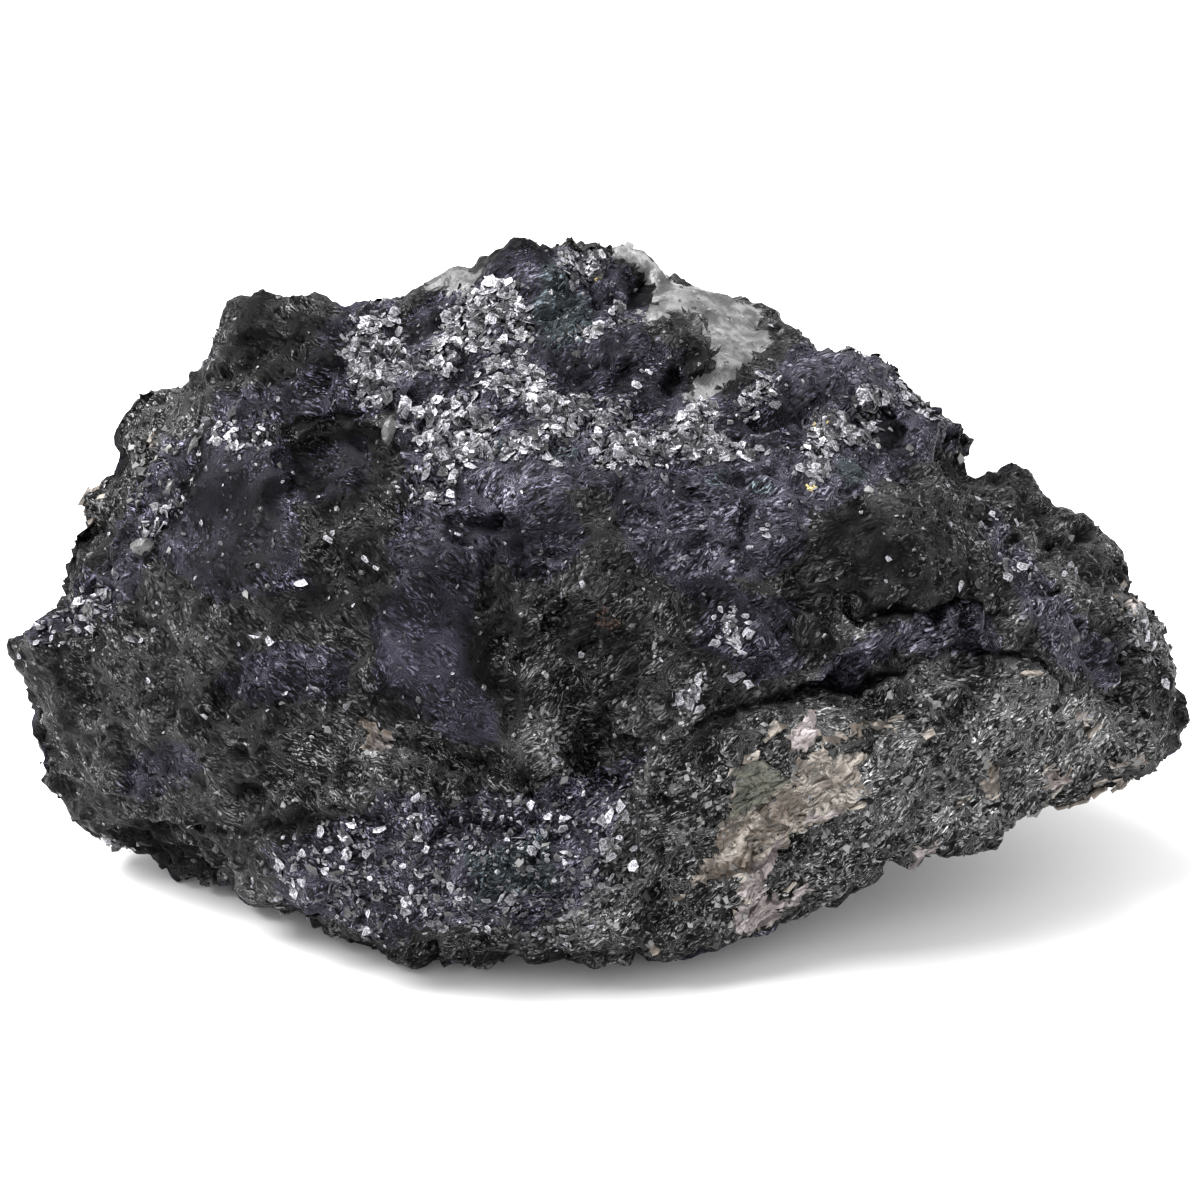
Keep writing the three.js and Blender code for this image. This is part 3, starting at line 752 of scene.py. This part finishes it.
feed(shader, "Normal", facing.vector("ADD", {1: tilt}).vector("NORMALIZE", {}))

# The calcite and the quartz.
# Calcite is sandy or pink and cleaves in long streaks, with painted shade in the creases between them and
# with brown and green stains. Quartz is milky and grey.
# Both show where their veins reach the skin, so they take over its faces there. The skin is thinned last.
SKIN_TRIANGLES = 198000
SAND_CREASE_SHADE = (0.03, 0.025, 0.02, 1)
SAND_STAINED = (0.15, 0.12, 0.095, 1)
SAND = (0.38, 0.34, 0.3, 1)
PINK_CREASE_SHADE = (0.07, 0.057, 0.057, 1)
PINK_STAINED = (0.22, 0.185, 0.185, 1)
PINK = (0.4, 0.35, 0.355, 1)
MOSS_CREASE_SHADE = (0.01, 0.011, 0.008, 1)
MOSS = (0.1, 0.1, 0.075, 1)


def raise_by(shader, height):
    """Gives a shader a fine relief, from a wire of heights in mm."""
    raised = height.node("ShaderNodeBump", {}, {"Strength": 1.0, "Distance": MM, "Height": height}, "Normal")
    feed(shader, "Normal", raised)


spar, shader, place = material("calcite")
curled = place.vector("ADD", {1: noise_of(place, 1.5, 0.0, 0.5, "Color")})
sparry = drawn_out(curled, 0.16)
streak = noise_of(sparry, 0.38, 3.0, 0.7)
clean = noise_of(place, 2.2, 2.0, 0.6).between(0.4, 0.58)
# Where the streaks dip in the relief, the colour falls to a darker crease colour: painted shade.
blade = streak.between(0.34, 0.62)
sandy = blade.blend(SAND_CREASE_SHADE, clean.blend(SAND_STAINED, SAND))
pink = blade.blend(PINK_CREASE_SHADE, clean.blend(PINK_STAINED, PINK))
mossy = streak.between(0.36, 0.64).blend(MOSS_CREASE_SHADE, MOSS)
colour = kind(place, "rosy").between(0.3, 0.7).blend(sandy, pink)
colour = kind(place, "green").between(0.3, 0.7).blend(colour, mossy)
feed(shader, "Base Color", colour)
shader.inputs["Roughness"].default_value = 0.45
raise_by(shader, streak * 0.3)

milk, shader, place = material("quartz")
cloud = noise_of(place, 1.6, 4.0, 0.6)
value = (0.028 + 0.085 * cloud.between(0.36, 0.64)) * 2 ** (kind(place, "tone_and_shade") * 0.7)
feed(shader, "Base Color", value.times((1, 1, 1)))
shader.inputs["Roughness"].default_value = 0.35
shader.inputs["Subsurface Weight"].default_value = 0.2
shader.inputs["Subsurface Radius"].default_value = (1, 1, 1)
shader.inputs["Subsurface Scale"].default_value = 0.8 * MM
raise_by(shader, cloud * 0.4)

for finish in (ore, spar, milk):
    skin.materials.append(finish)
torn = 0.35 * waves(rooms / 1.1, 46) + 0.3 * waves(rooms / 0.5, 47)
veins = np.where(quartz + torn > 0.5, 2, np.where(calcite + torn > 0.5, 1, 0))
first_corners = np.empty(len(skin.polygons), int)
skin.polygons.foreach_get("loop_start", first_corners)
corner_places = np.empty(len(skin.loops), int)
skin.loops.foreach_get("vertex_index", corner_places)
skin.polygons.foreach_set("material_index", veins[corner_places[first_corners]])
only(stone)
thinned = stone.modifiers.new("thinned", "DECIMATE")
thinned.ratio = SKIN_TRIANGLES / (2 * len(skin.polygons))
bpy.ops.object.modifier_apply(modifier="thinned")
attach(stone, "root")
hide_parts("skutterudite_rock")

# The crumbs of ore.
# Small angular lumps of the same ore that stand out of the broken skin, left where grains parted. They are
# joined into one mesh, and each takes the kind of stone that it stands on, a little paler or darker.
CRUMBS = 2500
CRUMB_WIDTHS = (0.2, 0.42)
rng = np.random.default_rng(5)


def hosts_by(weight, count):
    """Random corners of the skin for small pieces to stand on, more of them where the weight is high. Those
    that would reach under the table or stand on the flat spot are left out."""
    free = (rooms[:, 2] > 1.6) & (weight > 0)
    share = np.where(free, weight, 0)
    return rng.choice(len(rooms), count, p=share / share.sum())


def frames_on(hosts, tilt, along=None):
    """Three directions for each piece: one along the skin, near a given one or at random, one across it, and
    one out of the skin, tilted a little."""
    out = normals[hosts] + tilt * rng.normal(size=(len(hosts), 3))
    out /= np.linalg.norm(out, axis=1)[:, None]
    first = rng.normal(size=(len(hosts), 3))
    if along is not None:
        first = along + 0.15 * first
    first = first - np.sum(first * out, axis=1)[:, None] * out
    first /= np.linalg.norm(first, axis=1)[:, None]
    return np.stack([first, np.cross(out, first), out], 1)


def joined(name, hosts, frames, shapes, faces, lift, finish, values_of):
    """One object of many small shapes. A shape is its corners in mm along its frame's three directions. Its
    kind of stone is its host's, apart from the values given."""
    feet = rooms[hosts] + lift[:, None] * frames[:, 2]
    corners = np.einsum("ncd,nde->nce", shapes, frames) + feet[:, None]
    each = shapes.shape[1]
    steps = np.arange(len(hosts))[:, None] * each
    sides = [tuple(row) for face in faces for row in (steps + np.array(face))]
    mesh = bpy.data.meshes.new(name)
    mesh.from_pydata((corners * MM).reshape(-1, 3), [], sides)
    mesh.materials.append(finish)
    write(mesh, {key: np.repeat(values[hosts], each, axis=0) for key, values in kinds.items()} | values_of)
    piece = bpy.data.objects.new(name, mesh)
    bpy.context.collection.objects.link(piece)
    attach(piece, "root")


CUBE = np.array([[x, y, z] for x in (-0.5, 0.5) for y in (-0.5, 0.5) for z in (-0.5, 0.5)])
CUBE_SIDES = [(0, 1, 3, 2), (4, 6, 7, 5), (0, 4, 5, 1), (2, 3, 7, 6), (0, 2, 6, 4), (1, 5, 7, 3)]
hosts = hosts_by((1 - 0.93 * smooth) * (1 - np.clip(2 * quartz, 0, 1)), CRUMBS)
sizes = rng.uniform(*CRUMB_WIDTHS, (CRUMBS, 1, 1)) * rng.uniform(0.6, 1.4, (CRUMBS, 1, 3)) * (1.3, 1, 0.7)
shapes = (CUBE + rng.uniform(-0.12, 0.12, (CRUMBS, 8, 3))) * sizes
frames = frames_on(hosts, 0.35)
lift = rng.uniform(-0.2, -0.08, CRUMBS)
tones_and_shade = kinds["tone_and_shade"][hosts] + rng.uniform(-0.7, 0.7, CRUMBS)
joined("ore_crumbs", hosts, frames, shapes, CUBE_SIDES, lift, ore, {"tone_and_shade": np.repeat(tones_and_shade, 8)})

# The mica flakes.
# Thin silvery plates of mica, from a quarter of a millimetre to two millimetres wide, that lie nearly flat in
# the skin. They are dense on the top face and thinner on the foot. Each catches the light its own way, by its
# tilt and by a painted glint of its own strength, and each rim is darkened with painted shade.
FLAKES = 18000
FLAKE_CORNERS = 6
LARGE_RADII = (0.35, 0.8)
SMALL_RADII = (0.12, 0.35)


def off_from(across, up):
    """How far in mm the skin's corners look from a place, with the hidden side put far away."""
    return np.linalg.norm(seen - (across, up), axis=1) + 100 * (front < 0.5)


hosts = hosts_by(0.012 + np.clip(mica, 0, 1.2) ** 1.5 * (1 - np.clip(quartz, 0, 1)), FLAKES)
single_plates = [
    # the place in mm and how many plates lie there together
    (10, 18.5, 9), (9.5, 16, 8), (10.8, 15.4, 4), (16, 5.5, 3), (13, -2.5, 7), (12.8, -4.5, 4),
    (14, -7, 5), (14.5, -8.5, 3), (9, -9, 6), (8.4, -10.5, 4), (47.5, 3.2, 3), (32.7, 18.2, 3),
    (25.8, 16.5, 5), (-56.5, -5.5, 2), (-46.3, -4, 2), (-34.2, -4, 2), (-5.5, -15, 2), (-18.6, -20, 3),
    (-19, -23, 3), (-17, -24, 2), (-7.5, -20, 2), (-28.5, -8.5, 2), (-12, 22, 4), (-25.5, 26, 6),
    (-20.5, 27, 6), (-23, 20, 5), (4, 22, 3), (-3.5, 13.8, 4), (7.5, 12.5, 3), (21, 14, 5), (22, 12, 3),
    (-38.5, -11, 2), (-27, 6.5, 2), (-23, 3.5, 2), (-30.5, 2, 1), (37, 1, 2), (43, 9, 2), (-51, 0.5, 2),
]
nearby = []
for across, up, count in single_plates:
    nearest = np.argsort(off_from(across, up))[:24 * count]
    nearby += list(rng.choice(nearest, count))
hosts[: len(nearby)] = nearby
angles = np.arange(FLAKE_CORNERS) / FLAKE_CORNERS * 2 * np.pi
angles = angles + rng.uniform(-0.3, 0.3, (FLAKES, FLAKE_CORNERS))
large = rng.random((FLAKES, 1)) < 0.6 * np.clip(mica[hosts], 0, 1)[:, None]
large[: len(nearby)] = True
# Each flake's paleness is a painted glint of random strength, strong on the single plates.
glints = rng.uniform(0, 1, FLAKES)
glints[: len(nearby)] = rng.uniform(0.55, 1.0, len(nearby))
glints = np.where(large[:, 0], glints, 0.75 * glints)
radii = np.where(large, rng.uniform(*LARGE_RADII, (FLAKES, 1)), rng.uniform(*SMALL_RADII, (FLAKES, 1)))
radii = radii * rng.uniform(0.6, 1.3, (FLAKES, FLAKE_CORNERS))
narrowing = rng.uniform(0.5, 1, (FLAKES, 1))
rim = np.stack([radii * np.cos(angles), radii * np.sin(angles) * narrowing, radii * 0], 2)
peak = np.zeros((FLAKES, 1, 3))
peak[:, 0, 2] = rng.uniform(0.02, 0.1, FLAKES)
shapes = np.concatenate([peak, rim], 1)
sides = [(0, 1 + i, 1 + (i + 1) % FLAKE_CORNERS) for i in range(FLAKE_CORNERS)]
sides.append(tuple(range(FLAKE_CORNERS, 0, -1)))
silver, shader, place = material("mica")
core = kind(place, "core")
# The tint is the flake's painted glint.
tint = kind(place, "tint")
crumpled = noise_of(place, 0.42, 2.0, 0.7)
crease = abs(crumpled - 0.5).between(0.07, 0.0)
edge = core.between(0.4, 0.15) * crumpled.between(0.35, 0.6)
lines = 0.25 + 0.8 * crease.math("MAXIMUM", crease, edge)
# The rim of each flake is darkened: painted shade in the gap under its edge.
outline = 0.2 + 0.8 * core.between(0.0, 0.12)
value = (0.03 + 0.58 * tint ** 2) * lines * outline
feed(shader, "Base Color", value.times((0.98, 0.97, 1.07)))
shader.inputs["Roughness"].default_value = 0.32
shader.inputs["Metallic"].default_value = 0.25
raise_by(shader, crumpled * 0.12)
frames = frames_on(hosts, 0.35)
lift = rng.uniform(0.0, 0.22, FLAKES)
joined("mica_flakes", hosts, frames, shapes, sides, lift, silver, {
    "tint": np.repeat(glints, FLAKE_CORNERS + 1),
    "core": np.tile([1.0] + [0.0] * FLAKE_CORNERS, FLAKES),
})

# The calcite blades.
# Flat cleavage slabs of pinkish calcite, one to two millimetres long, that lie side by side along the vein. A
# few stand in the pale gangue round it.
BLADES = 380
BLADE_LENGTHS = (0.7, 2.2)
BLADE_WIDTHS = (0.3, 0.9)
BLADE_HEIGHTS = (0.2, 0.5)
hosts = hosts_by(np.clip(calcite, 0, 1) ** 2 + 0.01 * gangue, BLADES)
sizes = np.stack([rng.uniform(*span, BLADES) for span in (BLADE_LENGTHS, BLADE_WIDTHS, BLADE_HEIGHTS)], 1)
shapes = (CUBE + rng.uniform(-0.2, 0.2, (BLADES, 8, 3))) * sizes[:, None]
frames = frames_on(hosts, 0.1, CLEAVAGE_RIGHT)
lift = rng.uniform(-0.2, 0.0, BLADES)
joined("calcite_blades", hosts, frames, shapes, CUBE_SIDES, lift, spar, {})

# The pale grains.
# Small angular grains of quartz and feldspar, up to a millimetre wide. Most of them crowd the gangue of the
# lower right, and a few stand in the ore by themselves.
GRAINS = 2800
crowded = eased(waves(rooms / 2.2, 48) + 0.5 * waves(rooms / 0.9, 49), -0.2, 0.6)
share = 0.01 + crowded * np.clip(gangue, 0, 1) * (1 - 0.85 * np.clip(calcite, 0, 1))
hosts = hosts_by(share * (1 - smooth), GRAINS)
sizes = (0.12 + 0.42 * rng.random((GRAINS, 1, 1)) ** 3) * rng.uniform(0.5, 1.6, (GRAINS, 1, 3))
shapes = (CUBE + rng.uniform(-0.32, 0.32, (GRAINS, 8, 3))) * sizes
pale, shader, place = material("pale_grain")
value = 0.018 + 0.19 * kind(place, "tint") ** 2
feed(shader, "Base Color", value.times((1.01, 1, 0.99)))
shader.inputs["Roughness"].default_value = 0.4
frames = frames_on(hosts, 0.5)
lift = rng.uniform(-0.15, 0.0, GRAINS)
tints = rng.uniform(0, 1, GRAINS)
joined("pale_grains", hosts, frames, shapes, CUBE_SIDES, lift, pale, {"tint": np.repeat(tints, 8)})

# The ochre crusts.
# Tiny yellow and rust-brown crusts of weathered ore, made of grains a third of a millimetre wide. They show
# at three places in the mica of the top and in one streak on the front.
RUST = (0.032, 0.016, 0.011, 1)
YELLOW = (0.38, 0.31, 0.13, 1)
crusts = [
    # the place in mm, the width that they cover, how many there are, and 0 for rust to 1 for yellow
    (22.3, 17.8, 0.7, 14, 0.7), (21.2, 11.3, 0.4, 8, 1), (-0.2, 32.6, 0.4, 8, 0.8), (0.9, -2.2, 1.3, 40, 0),
]
hosts = []
hues = []
for across, up, width, count, hue in crusts:
    around = np.flatnonzero(off_from(across, up) < width)
    hosts += list(rng.choice(around, count))
    hues += [hue] * count
hosts = np.array(hosts)
sizes = rng.uniform(0.15, 0.35, (len(hosts), 1, 3))
shapes = (CUBE + rng.uniform(-0.3, 0.3, (len(hosts), 8, 3))) * sizes
ochre, shader, place = material("ochre")
feed(shader, "Base Color", kind(place, "hue").blend(RUST, YELLOW))
shader.inputs["Roughness"].default_value = 0.7
frames = frames_on(hosts, 0.4)
lift = rng.uniform(-0.05, 0.05, len(hosts))
joined("ochre_crusts", hosts, frames, shapes, CUBE_SIDES, lift, ochre, {"hue": np.repeat(hues, 8)})

# The quartz pebbles.
# A few smooth rounded grains of grey quartz, one to three millimetres long, that the ore grew round. They
# show on the left flank and the right end, sunk so that only their tops stand out.
PEBBLE_TONE = -1.0
pebbles = [
    # the place in mm, the half length, the half width and the turn in degrees
    (-43, 11.4, 1.0, 0.6, 75), (-45, 5, 1.3, 0.8, 0), (-50.8, -1, 1.5, 0.9, 10), (-21, 17, 1.4, 0.8, 80),
    (-41.2, 15.5, 1.2, 0.4, 70), (-47.5, 2.5, 0.8, 0.5, 40), (53.2, -1.5, 0.9, 0.7, 0), (55, 0, 0.8, 0.6, 0),
    (54.2, -4.5, 0.7, 0.6, 0), (47.5, -4, 0.6, 0.5, 0),
]
bpy.ops.object.select_all(action="DESELECT")
bpy.ops.mesh.primitive_ico_sphere_add(subdivisions=2, radius=1)
ball = bpy.context.object
ball_corners = read(ball.data.vertices, "co")
ball_sides = [tuple(side.vertices) for side in ball.data.polygons]
bpy.ops.object.delete()
hosts = np.array([np.argmin(off_from(*pebble[:2])) for pebble in pebbles])
half_lengths, half_widths, turns = np.array(pebbles)[:, 2:].T
along = np.array([slanted(turn) for turn in turns])
sizes = np.stack([half_lengths, half_widths, half_widths], 1)[:, None]
shapes = ball_corners * sizes * rng.uniform(0.8, 1.15, (len(pebbles), len(ball_corners), 1))
frames = frames_on(hosts, 0.05, along)
tones_and_shade = np.full(len(pebbles) * len(ball_corners), PEBBLE_TONE)
joined("quartz_pebbles", hosts, frames, shapes, ball_sides, -0.5 * half_widths, milk, {"tone_and_shade": tones_and_shade})

low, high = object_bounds()
sizes = {"cad": [list(cad_low), list(cad_high)], "visual": [list(low), list(high)]}
